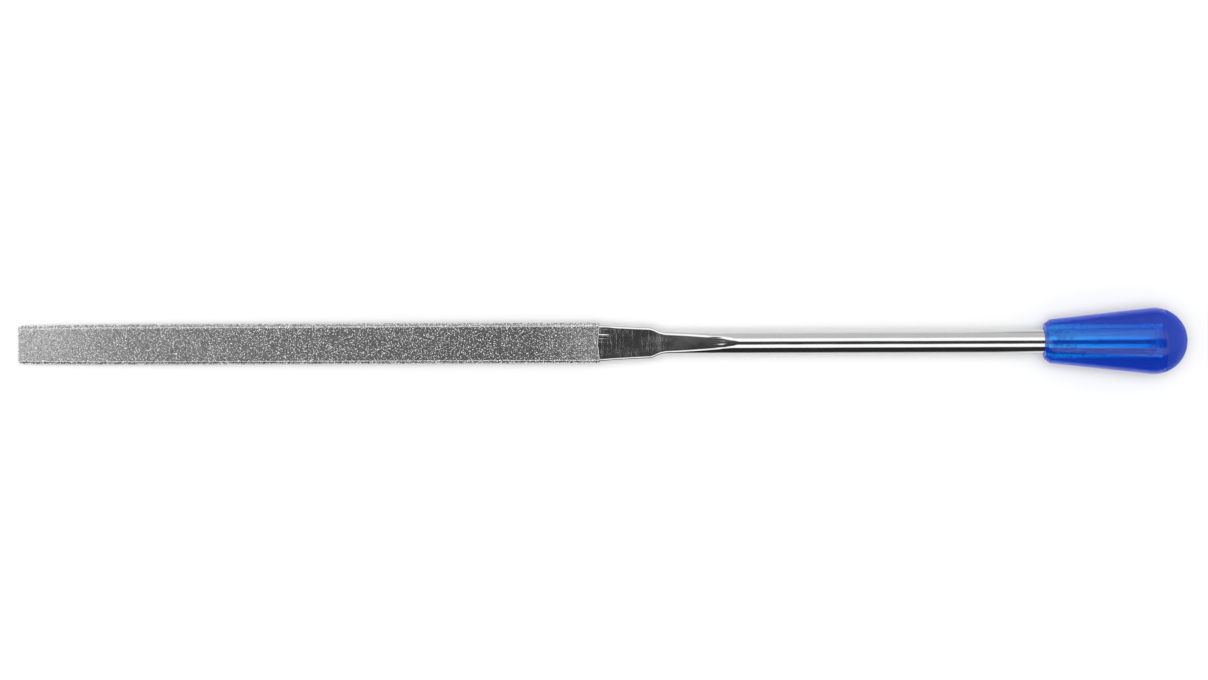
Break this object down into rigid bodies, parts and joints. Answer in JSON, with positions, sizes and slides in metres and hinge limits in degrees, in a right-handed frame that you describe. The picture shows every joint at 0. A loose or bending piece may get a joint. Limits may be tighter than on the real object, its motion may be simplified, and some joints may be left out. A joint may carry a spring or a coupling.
{
  "type": "flat needle file",
  "caption": "Flat needle file: slim steel blade coated with bonded abrasive grit on both faces and edges, round shank, and a small translucent teardrop handle.",
  "frame": {"origin": "on the tool's long axis, halfway between the blade's tip and the handle's end", "axes": "+X along the tool from the blade's tip towards the handle, +Z out of the upper working face, +Y across the blade"},
  "size_m": [0.15, 0.0084, 0.0084],
  "materials": {
    "steel": "ground on the neck's flats, polished on the shank",
    "nickel": "matt electroplated nickel between the grains",
    "diamond": "coarse synthetic diamond grains, half sunk in nickel",
    "handle_plastic": "translucent blue moulding, glossy cone and fine matt end",
    "adhesive": "clear cured adhesive with dry patches"
  },
  "bodies": {
    "root": {"steel_blank": "steel", "nickel_bond": "nickel", "diamond_grit": "diamond", "handle": "handle_plastic", "adhesive_film": "adhesive"}
  },
  "joints": []
}
